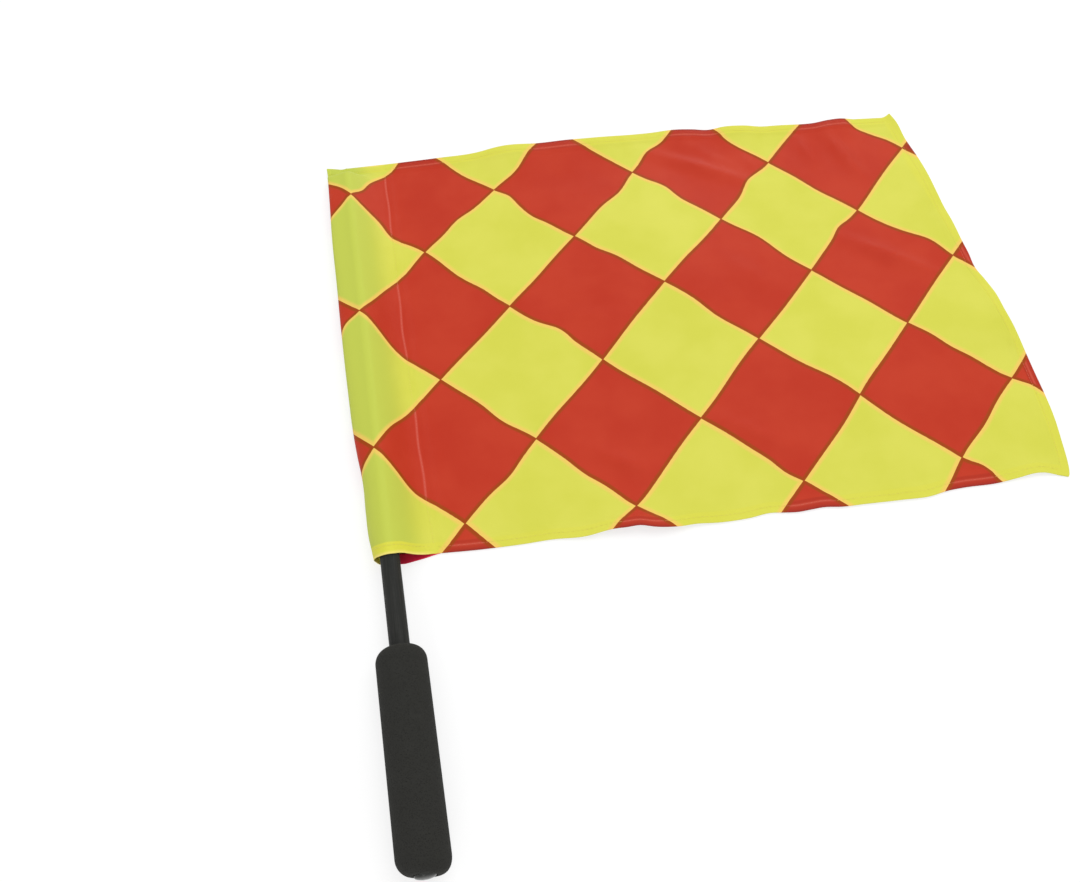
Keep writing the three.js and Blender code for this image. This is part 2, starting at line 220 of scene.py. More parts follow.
# Unevenness of the print's lines: place (x, y), move (x, y) and spread, all in millimetres
WIGGLES = (
    (28, 247, -3.0, -3.0, 13), (75, 204, -2.6, -2.6, 20), (75, 254, -2.2, 2.2, 13),
    (82, 89, -1.8, -1.8, 14), (126, 147, 2.6, 2.6, 11), (121, 298, 2.6, -2.6, 15),
    (84, 302, -1.4, -1.4, 16), (190, 263, 2.6, -2.6, 14), (224, 294, -2.6, 2.6, 12),
    (167, 212, -1.8, -1.8, 12), (235, 141, -2.6, -2.6, 18), (293, 257, -3.2, 3.2, 14),
    (224, 258, 2.8, 2.8, 11), (277, 203, 3.2, 3.2, 18), (343, 205, -1.6, 1.6, 10),
    (293, 295, -2.6, -2.6, 14), (340, 246, -1.8, -1.8, 18), (378, 33, 1.5, -1.5, 20),
    (366, -1, 3.4, 3.4, 8), (380, 93, -1.4, -1.4, 12), (400, 181, 2.4, 2.4, 12),
    (405, 281, 1.8, 1.8, 10), (389, 304, -2.2, -2.2, 10), (418, 51, 3.2, 3.2, 13),
    (30, 313, 2.6, -2.6, 13), (6, 290, 1.8, -1.8, 8), (112, 272, 2.0, 2.0, 8),
    (285, 302, -1.4, -1.4, 9), (30, 211, 1.2, -1.2, 14), (20, 150, -1.1, -1.1, 18),
    (91, 184, -1.0, -1.0, 10), (-11, 289, 1.2, 1.2, 8), (-44, 0, 5.5, 0.0, 14),
    (-14, 166, -2.2, 2.2, 9), (8, 83, -2.2, 2.2, 14), (75, 47, 1.6, -1.6, 14),
    (18, 44, -1.4, -1.4, 12), (123, 41, -1.4, -1.4, 12), (244, 21, -1.8, -1.8, 10),
    (128, 253, -1.8, -1.8, 11),
)

# The cut edges as they lie: place along the edge, how far out of line, and how high it curls up
BOTTOM_EDGE = (
    (26, 2.2, 0), (49, 1.1, 0), (76, 0.8, 0), (95, 1.2, 0), (113, -0.4, 0), (131, 0.6, 0), (138, 0.1, 0),
    (146, 0.0, 0), (154, -2.1, 0), (168, -2.9, 0), (180, -1.9, 0), (193, -2.5, 0), (212, -2.1, 0),
    (226, -0.6, 0), (234, -1.6, 0), (242, -2.4, 0), (250, -2.0, 0), (258, -1.6, 0), (270, -3.0, 0),
    (284, -3.2, 0), (308, -3.8, 0), (326, -3.8, 0), (339, -1.6, 0), (350, -0.9, 0), (371, -1.0, 0),
    (386, 0.4, 1.2), (394, 1.2, 2.2), (402, 1.0, 1.6), (409, -0.5, 0.4), (417, -2.9, 0),
)
TOP_EDGE = (
    (-16, 0, 0), (26, 0.5, 0), (66, 1.4, 0.3), (96, 1.8, 1.5), (116, 2.1, 5.5), (141, 2.5, 3.6),
    (171, 3.0, 3.5), (200, 2.4, 2.8), (228, 1.5, 3.2), (246, 1.2, 4.6), (260, 0.8, 4.0), (274, 0.3, 2.6),
    (284, 0, 4.8), (300, -0.8, 5.0), (314, -1.3, 2.4), (328, -0.7, 1.2), (337, -0.8, 0.9), (347, -2.7, 2.2),
    (357, -3.6, 3.0), (366, -2.3, 3.0), (376, -1.7, 2.8), (389, -0.8, 0), (406, -1.6, 0), (413, -1.8, 0.6),
    (418, 0.3, 2.2),
)
# The fly edge: place up the edge, and how far out of line
FLY_EDGE = (
    (0, -2.4), (19, -1.6), (40, -0.6), (73, -0.9), (90, -1.1), (106, -1.8), (123, -2.1), (140, -0.5),
    (152, -1.6), (165, -3.7), (177, -2.5), (190, -2.1), (208, -0.8), (221, -0.6), (236, 0.7), (256, 2.2),
    (274, 2.3), (292, 1.0), (309, 1.1), (319, -0.4),
)
# The sleeve's fold: place along the pole, and how far it lies beyond the pole's axis
FOLD = (
    (0, 9.4), (6, 10.0), (14, 10.9), (30, 11.2), (50, 11.1), (58, 11.6), (67, 12.5), (86, 13.8),
    (115, 14.5), (166, 15.0), (205, 14.9), (245, 15.0), (280, 14.2), (302, 13.9), (319, 14.4),
)
# The mouth's edge, over the pole and of the layer below it: place across, and how far out of line
MOUTH_OVER = (
    (-9.2, -0.2), (-5, -1.5), (0, -1.9), (3, -1.7), (6.6, -0.7), (13, 0.2), (19.7, 1.5), (24.8, 2.2),
    (26, 2.2),
)
MOUTH_UNDER = (
    (-9.2, -0.2), (-6.5, 0.3), (-2, 0.6), (7.2, -1.0), (13.2, -0.3), (21.6, 0.9), (26, 1.7), (29.6, 2.1),
)
# How deep into the cloth an edge's own line shows, and its curl
EDGE_DEPTH = 24.0
CURL_DEPTH = 20.0


def smooth(x, low, high):
    """0 up to low, 1 from high on, and a soft rise between them."""
    t = np.clip((np.asarray(x, float) - low) / (high - low), 0.0, 1.0)
    return t * t * (3.0 - 2.0 * t)


def bell(x):
    return np.exp(-np.square(x))


def curve(points, at, column):
    """A smooth line through points of a table."""
    xs = np.array([p[0] for p in points], float)
    ys = np.array([p[column] for p in points], float)
    slopes = np.gradient(ys, xs)
    at = np.clip(np.asarray(at, float), xs[0], xs[-1])
    i = np.clip(np.searchsorted(xs, at, side="right") - 1, 0, len(xs) - 2)
    span = xs[i + 1] - xs[i]
    t = (at - xs[i]) / span
    return ((1 + 2 * t) * (1 - t) ** 2 * ys[i] + t * (1 - t) ** 2 * span * slopes[i]
            + t * t * (3 - 2 * t) * ys[i + 1] + t * t * (t - 1) * span * slopes[i + 1])


def lift(x, y):
    """Height of the panel above the surface that it lies on."""
    low = bell(y / CURL_DEPTH)
    high = bell((HEIGHT - y) / CURL_DEPTH)
    total = curve(BOTTOM_EDGE, x, 2) * low + curve(TOP_EDGE, x, 2) * high
    for height, cx, cy, sx, sy in SWELLS:
        total = total + height * bell((x / REACH - cx) / sx) * bell((y / HEIGHT - cy) / sy)
    for height, x0, y0, x1, y1, width in RIDGES:
        half = math.hypot(x1 - x0, y1 - y0) / 2
        ax, ay = (x1 - x0) / 2 / half, (y1 - y0) / 2 / half
        dx, dy = x - (x0 + x1) / 2, y - (y0 + y1) / 2
        total = total + height * bell((dx * ax + dy * ay) / half) * bell((dx * ay - dy * ax) / width)
    return np.maximum(total, 0.0) * smooth(x, SEAM, SEAM + SWELL_START)


rng = np.random.RandomState(11)


def waves(count, shortest, longest, phases, size):
    """Random waves over the cloth: turns per millimetre (x, y), phases, and a size from the length."""
    made = []
    for _ in range(count):
        wavelength = rng.uniform(shortest, longest)
        heading = rng.uniform(0.0, math.pi)
        made.append((
            2 * math.pi * math.cos(heading) / wavelength,
            2 * math.pi * math.sin(heading) / wavelength,
            *[rng.uniform(0.0, 2 * math.pi) for _ in range(phases)],
            size(wavelength),
        ))
    return made


RIPPLES = waves(16, 22.0, 75.0, 1, lambda wavelength: 0.0045 * wavelength ** 0.9)
WARPS = waves(14, 34.0, 95.0, 2, lambda wavelength: 0.003 * wavelength)


def ripple(x, y):
    """Height of the cloth's own fine ripples."""
    total = 0.0
    for kx, ky, phase, height in RIPPLES:
        total = total + height * np.sin(kx * x + ky * y + phase)
    return total


def pull(x, y):
    """How far the lying cloth has crept in its own plane, x and y."""
    across, along = 0.0, 0.0
    for dx, dy, cx, cy, sx, sy in PULLS:
        weight = bell((x - cx) / sx) * bell((y - cy) / sy)
        across = across + dx * weight
        along = along + dy * weight
    free = smooth(x, SEAM + PULL_START[0], SEAM + PULL_START[1])
    return across * free, along * free


def creep(x, y, mouth=BOTTOM_EDGE):
    """Moves in the cloth's own plane: with the print (x, y), and of the cut edges alone (x, y)."""
    low = 1.0 - smooth(y, 0.0, EDGE_DEPTH)
    high = 1.0 - smooth(HEIGHT - y, 0.0, EDGE_DEPTH)
    far = 1.0 - smooth(fly_reach(y) - x, 0.0, EDGE_DEPTH)
    across, along = pull(x, y)
    trim_x = far * curve(FLY_EDGE, y, 1)
    trim_y = low * curve(mouth, x, 1) + high * curve(TOP_EDGE, x, 1)
    return across * (1.0 - far), along * (1.0 - low) * (1.0 - high), trim_x, trim_y


def warp(x, y):
    """Small unevenness of the print on the cloth, x and y."""
    across, along = 0.0, 0.0
    for kx, ky, first, second, size in WARPS:
        across = across + size * np.sin(kx * x + ky * y + first)
        along = along + size * np.sin(kx * x + ky * y + second)
    for px, py, dx, dy, spread in WIGGLES:
        weight = bell(np.hypot(x - px, y - py) / spread)
        across = across - dx * weight
        along = along - dy * weight
    return across, along


def fly_reach(y):
    """How far the panel reaches from the pole's axis at y."""
    share = np.clip(y / HEIGHT, 0.0, 1.0) ** (math.log(0.5) / math.log(BULGE_SHARE))
    return REACH + BULGE * np.sin(math.pi * share)


def panel(x, y):
    """Top surface of the panel: x, y, z, and the print's own shift (x, y)."""
    edge = np.minimum(np.minimum(y, HEIGHT - y), fly_reach(y) - x)
    allowance = SEAM + SEAM_ALLOWANCE
    single = smooth(edge, FLAP, FLAP + FLAP_FADE) * smooth(x, allowance, allowance + ALLOWANCE_FADE)
    raised = lift(x, y)
    free = smooth(x, SEAM + RIPPLE_START[0], SEAM + RIPPLE_START[1])
    rippled = RIPPLE_SHARE + RAISED_SHARE * raised / RAISED_HEIGHT
    raised = raised + free * rippled * (ripple(x, y) + RIPPLE_RISE)
    pucker = bell((edge - HEM) / PUCKER_WIDTH) * PUCKER
    z = np.maximum(raised, 0.0) + FULL - SINK * single - pucker
    drop = -DROP * np.maximum(0.0, x - SEAM) / (REACH - SEAM)
    across, along, trim_x, trim_y = creep(x, y)
    return x + across + trim_x, y + drop + along + trim_y, z, trim_x, drop + trim_y


def axis_height(y):
    return AXIS_AT_MOUTH - y * SLOPE


def bezier(p0, d0, p1, d1, n, reach=None):
    """Cubic from p0 along d0 to p1 along d1, n steps."""
    distance = math.hypot(p1[0] - p0[0], p1[1] - p0[1])
    rise = abs(p1[1] - p0[1]) * RISE_SHARE
    reach = reach or [min(distance * HANDLE_SHARE, rise / max(abs(d[1]), 1e-9)) for d in (d0, d1)]
    a = (p0[0] + d0[0] * reach[0], p0[1] + d0[1] * reach[0])
    b = (p1[0] - d1[0] * reach[1], p1[1] - d1[1] * reach[1])
    t = np.linspace(0.0, 1.0, n + 1)[:, None]
    p0, a, b, p1 = (np.array(p, float) for p in (p0, a, b, p1))
    return (1 - t) ** 3 * p0 + 3 * (1 - t) ** 2 * t * a + 3 * (1 - t) * t * t * b + t ** 3 * p1


# Steps of the sleeve's line: from the seam to the pole, over it, down beside it, in under it, and
# along the surface to the seam allowance
DRAPE_N, ARC_N, SIDE_N, UNDER_N, FLAT_N = 18, 10, 16, 8, 12


def sleeve(y):
    """Outer line of the sleeve at y, from the seam allowance under the pole and over it to the seam."""
    closing = float(smooth(y, POLE_TIP, SLEEVE_END))
    radius = SLEEVE_RADIUS + (FULL - SLEEVE_RADIUS) * closing
    centre = radius if y > POLE_TIP else float(axis_height(y))
    fold = (-float(curve(FOLD, y, 1)), FOLD_HEIGHT + (FLAT_FOLD - FOLD_HEIGHT) * closing)
    landing = (fold[0] + fold[1] * UNDER_RUN_SHARE, 0.0)

    def around(angle):
        return (radius * math.sin(angle), centre + radius * math.cos(angle))

    def heading(angle):
        return (-math.cos(angle), math.sin(angle))

    start, end = TOUCHING
    drape = bezier((SEAM, FULL), heading(LEAVING), around(start), heading(start), DRAPE_N)
    arc = np.array([around(a) for a in np.linspace(start, end, ARC_N + 1)[1:]])
    width, rise = arc[-1][0] - fold[0], abs(arc[-1][1] - fold[1])
    reach = (SIDE_SHARES[0] * width, min(SIDE_SHARES[1] * rise, SIDE_MOST))
    side = bezier(tuple(arc[-1]), heading(end), fold, (0, -1), SIDE_N, reach)[1:]
    inwards = np.array(landing) - np.array(fold)
    inwards = tuple(inwards / np.linalg.norm(inwards) * TUCK - np.array([0.0, TUCK_DOWN]))
    under = bezier(fold, inwards, landing, (1, 0), UNDER_N)[1:]
    xs = np.linspace(landing[0], SEAM + SEAM_ALLOWANCE, FLAT_N + 1)[1:]
    ramp = smooth(xs, SEAM - UNDER_RAMP[0], SEAM - UNDER_RAMP[1])
    flat = np.stack([xs, UNDER_HEIGHT + UNDER_RISE * ramp], 1)
    flat[0, 1] = LANDING_HEIGHT
    line = np.concatenate([drape, arc, side, under, flat])[::-1]
    corner = smooth(-line[:, 0], 0.0, -fold[0]) * float(smooth(y, POLE_TIP, HEIGHT))
    line[:, 1] += CORNER_LIFT * corner
    return line


# Columns of the cloth: the sleeve's, the first ones after the seam, the panel's even ones, and the
# last ones before the fly edge, which the rows near the other edges share. TURNS go round the
# folded edge and BACK along the back of the hem.
SLEEVE_COLUMNS = DRAPE_N + 1 + ARC_N + SIDE_N + UNDER_N + FLAT_N
NEAR = np.array([1.2, 2.4, 3.6, 5.0, 6.5, 8.0])
FAR = np.array([8.0, 7.2, 6.5, 5.8, 5.4, 5.0, 4.6, 4.0, 3.0, 2.0, 1.0, 0.4, 0.0])
MIDDLE = 150
TURNS = np.array([0.25, 0.5, 0.75, 1.0])
BACK = np.array([0.4, 1.5, 3.0, 4.5, 5.5, FLAP])
# Rows beyond the bottom hem, steps up the middle, and rows round the pole's tip
PAST_HEM = np.array([9.2, 10.5, 12.0])
UP_STEPS = 119
AT_TIP = np.array([-10.0, -8.0, -6.0, -4.0, -2.0, 0.0, 1.2, 2.4, 3.6, 4.8, 6.0, 7.0, 8.0])


def row(y):
    """One row of the sheet's outer surface, from the seam allowance round the pole to the fly edge.

    It gives place and normal, and where the print lies (flat, slip). share is 1 on the back of
    the folded fly hem, and over is 1 in front of it.
    """
    line = sleeve(y)
    step = np.gradient(line, axis=0)
    step /= np.linalg.norm(step, axis=1)[:, None]
    sx, sz = line[:, 0], line[:, 1]
    nx, nz = -step[:, 1], step[:, 0]
    length = np.linalg.norm(np.diff(line, axis=0), axis=1)
    arc = np.concatenate([np.cumsum(length[::-1])[::-1], [0.0]])
    edge = float(fly_reach(y))
    xs = np.concatenate([
        SEAM + NEAR,
        np.linspace(SEAM + NEAR[-1], edge - FAR[0], MIDDLE + 2)[1:-1],
        edge - FAR,
    ])
    turn_x = edge + PITCH / 2 * np.sin(math.pi * TURNS)
    px = np.concatenate([xs, turn_x, edge - BACK])
    flat_x = np.concatenate([xs, edge + PITCH * TURNS, edge + PITCH + BACK])
    share = np.concatenate([np.zeros(len(xs)), (1 - np.cos(math.pi * TURNS)) / 2, np.ones(len(BACK))])
    face_x = np.minimum(px, edge)
    place_x, place_y, pz, trim_x, slip = panel(face_x, np.full_like(px, y))
    on_flap = 1.0 - smooth(edge - face_x, FLAP, FLAP + BACK_FADE)
    count = len(sx)
    below = FLAT_N + UNDER_N
    under = creep(sx[:below], y, MOUTH_UNDER)
    over = creep(sx[below:], y, MOUTH_OVER)
    across, along, _, sleeve_slip = (np.concatenate([a * np.ones(below), b * np.ones(count - below)])
                                     for a, b in zip(under, over))
    return {
        "x": np.concatenate([sx + across, place_x + (px - face_x)]),
        "y": np.concatenate([y + along + sleeve_slip, place_y]),
        "z": np.concatenate([sz, pz]),
        "nx": np.concatenate([nx, np.zeros(len(px))]),
        "nz": np.concatenate([nz, np.ones(len(px))]),
        "flat": np.concatenate([SEAM - arc, flat_x + trim_x]),
        "slip": np.concatenate([sleeve_slip, slip]),
        "share": np.concatenate([np.zeros(count), share]),
        "over": np.concatenate([np.zeros(count), on_flap]),
    }


def seam_lean(y):
    """How far the sleeve's seam is out of line with the pole at y."""
    total = SEAM_START + SEAM_LEAN * y / HEIGHT
    for size, length, phase in SEAM_WAVES:
        total = total + size * np.sin(y / length + phase)
    return total


def rows_of_cloth():
    """(y on the face, y offset, depth share, flat y) of each row, from the bottom flap to the top one."""
    middle = np.linspace(PAST_HEM[-1], POLE_TIP - PAST_HEM[-1], UP_STEPS)[1:]
    faces = np.concatenate([FAR[::-1], PAST_HEM, middle, POLE_TIP + AT_TIP, HEIGHT - FAR[1:]])
    turned = [(turn, PITCH / 2 * math.sin(math.pi * turn), (1 - math.cos(math.pi * turn)) / 2)
              for turn in TURNS]
    made = [(back, 0.0, 1.0, -PITCH - back) for back in BACK[::-1]]
    made += [(0.0, -offset, depth, -PITCH * turn) for turn, offset, depth in turned[::-1]]
    made += [(y, 0.0, 0.0, y) for y in faces]
    made += [(HEIGHT, offset, depth, HEIGHT + PITCH * turn) for turn, offset, depth in turned]
    made += [(HEIGHT - back, 0.0, 1.0, HEIGHT + PITCH + back) for back in BACK]
    return made


def in_frame(points):
    return np.asarray(points, float) * MM + ORIGIN


def print_place(flat_x, flat_y):
    """Place in the print, in half diagonals: a across, b up."""
    across, along = warp(flat_x, flat_y)
    over = smooth(SEAM - flat_x, 0.0, DOWN_REACH)
    near = [bell((v - place) / spread)
            for v, place, spread in zip((flat_x, flat_y), LEFT_PLACE, LEFT_SPREAD)]
    flat_x = flat_x + across + PRINT_LEFT * near[0] * near[1]
    v = flat_y + along - PRINT_Y + PRINT_DOWN * over
    a = (PRINT_X + math.cos(TURN) * flat_x - math.sin(TURN) * v) / HALF_A
    b = (math.sin(TURN) * flat_x + math.cos(TURN) * v) / HALF_B
    return a, b


def on_red(flat_x, flat_y):
    """1 where the print is red, 0 where it is yellow."""
    a, b = print_place(flat_x, flat_y)
    return (np.floor((a + b) / 2 + 0.5) + np.floor((a - b) / 2 + 0.5)) % 2


def grid_mesh(name, points, coordinates, floats):
    """A mesh of quads over a grid of points, with a UV map named print and float attributes."""
    rows, columns = points.shape[:2]
    index = np.arange(rows * columns).reshape(rows, columns)
    faces = np.stack([index[:-1, :-1], index[:-1, 1:], index[1:, 1:], index[1:, :-1]], -1).reshape(-1, 4)
    mesh = bpy.data.meshes.new(name)
    mesh.from_pydata(points.reshape(-1, 3).tolist(), [], faces.tolist())
    uv = mesh.uv_layers.new(name="print")
    flat = coordinates.reshape(-1, 2)[faces.ravel()]
    uv.data.foreach_set("uv", flat.astype(np.float32).ravel())
    for key, values in floats.items():
        attribute = mesh.attributes.new(key, "FLOAT", "POINT")
        attribute.data.foreach_set("value", values.astype(np.float32).ravel())
    mesh.polygons.foreach_set("use_smooth", np.ones(len(faces), bool))
    mesh.update()
    return mesh


def add(name, mesh):
    piece = bpy.data.objects.new(name, mesh)
    bpy.context.scene.collection.objects.link(piece)
    return piece


# Where the cloth's marks for its colours set in, in millimetres from the seam or an edge
HOLLOW_START = (1.0, 22.0)
CLOSED_START = 4.0
DOUBLED_FADE = 0.8
RIM_FADE = (0.4, 1.6)
CREASE_WIDTH = 0.7
# How much of the doubled cloth's colour the panel's hems show. The sleeve's show it all.
PANEL_DOUBLED_SHARE = 0.4


def build_cloth():
    """The sheet, with marks for its colours.

    hollow is 1 on the sleeve, doubled on the folded hems, crease along their stitches and rim
    along the cut edges. seam is the distance from the sleeve's seam in millimetres. The material
    paints shade on the sleeve by hollow, a highlight at the mouth along the rim, and shade on the panel's
    red along the rim.
    """
    points, coordinates = [], []
    marks = {key: [] for key in ("hollow", "doubled", "crease", "rim", "seam")}
    for y, offset, depth_share, flat_y in rows_of_cloth():
        r = row(y)
        deep = PITCH * (1 + 2 * r["over"])
        own = PITCH * r["share"]
        depth = (1 - depth_share) * own + depth_share * (deep - own) + PLY / 2
        x = r["x"] - r["nx"] * depth
        z = r["z"] - r["nz"] * depth
        coordinates.append(np.stack(print_place(r["flat"], flat_y + r["slip"]), 1))
        points.append(np.stack([x, r["y"] + offset, z], 1))
        hollow = smooth(SEAM - r["flat"], *HOLLOW_START)
        edge = np.minimum(min(y, HEIGHT - y), fly_reach(y) - r["flat"])
        loose = 1.0 - smooth(y, SLEEVE_END - CLOSED_START, SLEEVE_END) * hollow
        doubled = (1.0 - smooth(edge, FLAP, FLAP + DOUBLED_FADE)) * loose
        stitched = edge - (BOTTOM_HEM if y < HEIGHT / 2 else HEM)
        marks["hollow"].append(hollow)
        marks["doubled"].append(doubled * (PANEL_DOUBLED_SHARE + (1.0 - PANEL_DOUBLED_SHARE) * hollow))
        marks["crease"].append(bell(stitched / CREASE_WIDTH) * (1.0 - hollow))
        marks["rim"].append((1.0 - smooth(edge, *RIM_FADE)) * loose)
        marks["seam"].append(r["flat"] - SEAM - seam_lean(y))
    floats = {key: np.array(values) for key, values in marks.items()}
    mesh = grid_mesh("flag_sheet", in_frame(np.array(points)), np.array(coordinates), floats)
    piece = add("flag_sheet", mesh)
    thick = piece.modifiers.new("Ply", "SOLIDIFY")
    thick.thickness = PLY * MM
    thick.offset = 0.0
    return piece


def tube_along(line, normals, radius, sides):
    """A closed tube round a short line. Its first side faces along the normals."""
    step = np.gradient(line, axis=0)
    step /= np.linalg.norm(step, axis=1)[:, None]
    side = np.cross(step, normals)
    side /= np.linalg.norm(side, axis=1)[:, None]
    up = np.cross(side, step)
    angles = np.linspace(0, 2 * math.pi, sides, endpoint=False)
    ring = np.cos(angles)[None, :, None] * up[:, None] + np.sin(angles)[None, :, None] * side[:, None]
    return line[:, None] + ring * radius[:, None, None]


class Stitches:
    """Lock stitches gathered into one mesh."""

    def __init__(self, seed):
        self.points, self.faces, self.red = [], [], []
        self.rng = np.random.RandomState(seed)

    def add(self, line, normals, red):
        """One stitch. red is 1 where it crosses the print's red."""
        spine = line + normals * STITCH_RISE[:, None]
        rings = tube_along(spine, normals, STITCH_TAPER * THREAD_R, THREAD_SIDES)
        count, sides = rings.shape[:2]
        start = sum(len(p) for p in self.points)
        self.points.append(rings.reshape(-1, 3))
        self.red.append(np.full(count * sides, red))
        for i in range(count - 1):
            for j in range(sides):
                k = (j + 1) % sides
                a, b = start + i * sides, start + (i + 1) * sides
                self.faces.append((a + j, a + k, b + k, b + j))
        self.faces.append(tuple(start + j for j in reversed(range(sides))))
        self.faces.append(tuple(start + (count - 1) * sides + j for j in range(sides)))

    def run(self, line, normals, red):
        """Stitches one after another along a line on the cloth's surface."""
        along = np.concatenate([[0.0], np.cumsum(np.linalg.norm(np.diff(line, axis=0), axis=1))])
        place = STITCH_GAP / 2
        while place + STITCH_LENGTH < along[-1]:
            this = STITCH_LENGTH * self.rng.uniform(*UNEVEN_SHARES)
            at = place + this * STITCH_SHARES
            spot = np.stack([np.interp(at, along, line[:, i]) for i in range(3)], 1)
            normal = np.stack([np.interp(at, along, normals[:, i]) for i in range(3)], 1)
            normal /= np.linalg.norm(normal, axis=1)[:, None]
            forward = spot[-1] - spot[0]
            sideways = np.cross(normal, forward / np.linalg.norm(forward))
            off = self.rng.uniform(-STITCH_OFF, STITCH_OFF)
            slant = self.rng.uniform(0.0, STITCH_SLANT)
            spot = spot + sideways * (off + np.linspace(-0.5, 0.5, len(at))[:, None] * slant)
            self.add(spot, normal, np.interp(place + this / 2, along, red))
            place += this + STITCH_GAP
        return self

    def piece(self, name):
        mesh = bpy.data.meshes.new(name)
        mesh.from_pydata(in_frame(np.concatenate(self.points)).tolist(), [], self.faces)
        mesh.polygons.foreach_set("use_smooth", np.ones(len(self.faces), bool))
        attribute = mesh.attributes.new("red", "FLOAT", "POINT")
        attribute.data.foreach_set("value", np.concatenate(self.red).astype(np.float32))
        mesh.update()
        return add(name, mesh)


# A line to sew along is its places, the cloth's normals there, and 1 where the print is red.
FLY_SPOTS = 240
SEAM_SPOTS = 200
TOP_HEM = HEIGHT - HEM


def row_line(y, first, end):
    """The line along one row of the cloth, from its first column to before its end."""
    r = row(y)
    line = np.stack([r["x"], r["y"], r["z"]], 1)[first:end]
    normals = np.stack([r["nx"], np.zeros(len(r["x"])), r["nz"]], 1)[first:end]
    return line, normals, on_red(r["flat"], y + r["slip"])[first:end]


def fly_line():
    """The line up the fly hem."""
    ys = np.linspace(HEM, TOP_HEM, FLY_SPOTS)
    across = fly_reach(ys) - HEM
    x, place_y, z, trim_x, slip = panel(across, ys)
    up = np.tile([0.0, 0.0, 1.0], (len(ys), 1))
    return np.stack([x, place_y, z], 1), up, on_red(across + trim_x, ys + slip)


def seam_spot(y):
    """Place, normal and print of the sleeve's seam at y."""
    r = row(y)
    across = SEAM + seam_lean(y)
    keys = ("x", "y", "z", "nx", "nz", "slip")
    x, place_y, z, nx, nz, slip = (np.interp(across, r["flat"], r[key]) for key in keys)
    return x, place_y, z, nx, 0.0, nz, on_red(across, y + slip)


def seam_stitches(seed):
    """The seam's stitches on top of the sleeve, and where they come out under it."""
    ys = np.linspace(HEM + SEAM_SHORT, TOP_HEM - SEAM_SHORT, SEAM_SPOTS)
    spots = np.array([seam_spot(y) for y in ys])
    line, normals, red = spots[:, :3], spots[:, 3:6], spots[:, 6]
    under = np.stack([line[:, 0], line[:, 1], np.full(len(line), UNDER_SEAM)], 1)
    down = np.tile([0.0, 0.0, -1.0], (len(line), 1))
    return Stitches(seed).run(line, normals, red).run(under, down, red)


def both_sides(seed, line, normals, red):
    """Stitches along a line on the face of a hem and on its back."""
    back = line - normals * (PITCH + PLY)
    return Stitches(seed).run(line, normals, red).run(back, -normals, red)


def build_stitches():
    """The stitches of each seam and hem, by its name."""
    panel_columns = (SLEEVE_COLUMNS, SLEEVE_COLUMNS + len(NEAR) + MIDDLE + np.count_nonzero(FAR >= HEM))
    round_pole = (FLAT_N + UNDER_N + 1, SLEEVE_COLUMNS)
    return {
        "bottom_hem": both_sides(3, *row_line(BOTTOM_HEM, *panel_columns)),
        "top_hem": both_sides(5, *row_line(TOP_HEM, *panel_columns)),
        "fly_hem": both_sides(7, *fly_line()),
        "sleeve_seam": seam_stitches(9),
        "mouth_hem": both_sides(13, *row_line(HEM, *round_pole)),
        "sleeve_closing": Stitches(17).run(*row_line(TOP_HEM, *round_pole)),
    }


# Segments round the pole, the grip and a plug, and steps along their straight and rounded lengths
POLE_SEGMENTS, GRIP_SEGMENTS, PLUG_SEGMENTS = 96, 160, 72
POLE_STEPS, GRIP_STEPS, SHOULDER_STEPS, DOME_STEPS = 60, 74, 18, 16


def lathe(name, outline, segments, closed_ends=True):
    """A body turned about the pole's axis. The outline gives radius and place along the pole."""
    tilt = math.atan(SLOPE)
    points, faces = [], []
    for radius, y in outline:
        for k in range(segments):
            angle = 2 * math.pi * k / segments
            x, z = radius * math.cos(angle), radius * math.sin(angle)
            points.append((x, y * math.cos(tilt) + z * math.sin(tilt),
                           -y * math.sin(tilt) + z * math.cos(tilt) + AXIS_AT_MOUTH))
    last = len(outline) - 1
    joined = [(i, i + 1) for i in range(last)]
    if not closed_ends:
        joined.append((last, 0))
    for first, second in joined:
        for k in range(segments):
            n = (k + 1) % segments
            a, b = first * segments, second * segments
            faces.append((a + k, b + k, b + n, a + n))
    if closed_ends:
        faces.append(tuple(range(segments)))
        faces.append(tuple(reversed(range(last * segments, (last + 1) * segments))))
    mesh = bpy.data.meshes.new(name)
    mesh.from_pydata(in_frame(points).tolist(), [], faces)
    mesh.polygons.foreach_set("use_smooth", np.ones(len(faces), bool))
    mesh.update()
    return add(name, mesh)


def build_pole():
    low, high = TUBE
    bore = POLE_R - WALL
    part = TUBE_ROUND * ROUND_SHARE
    rounded = [(POLE_R - TUBE_ROUND, 0.0), (POLE_R - part, part), (POLE_R, TUBE_ROUND)]
    outline = [(bore, low)] + [(r, low + d) for r, d in rounded]
    outline += [(POLE_R, y) for y in np.linspace(low + 1.0, high - 1.0, POLE_STEPS)]
    outline += [(r, high - d) for r, d in reversed(rounded)] + [(bore, high)]
    return lathe("pole_shaft", outline, POLE_SEGMENTS, closed_ends=False)


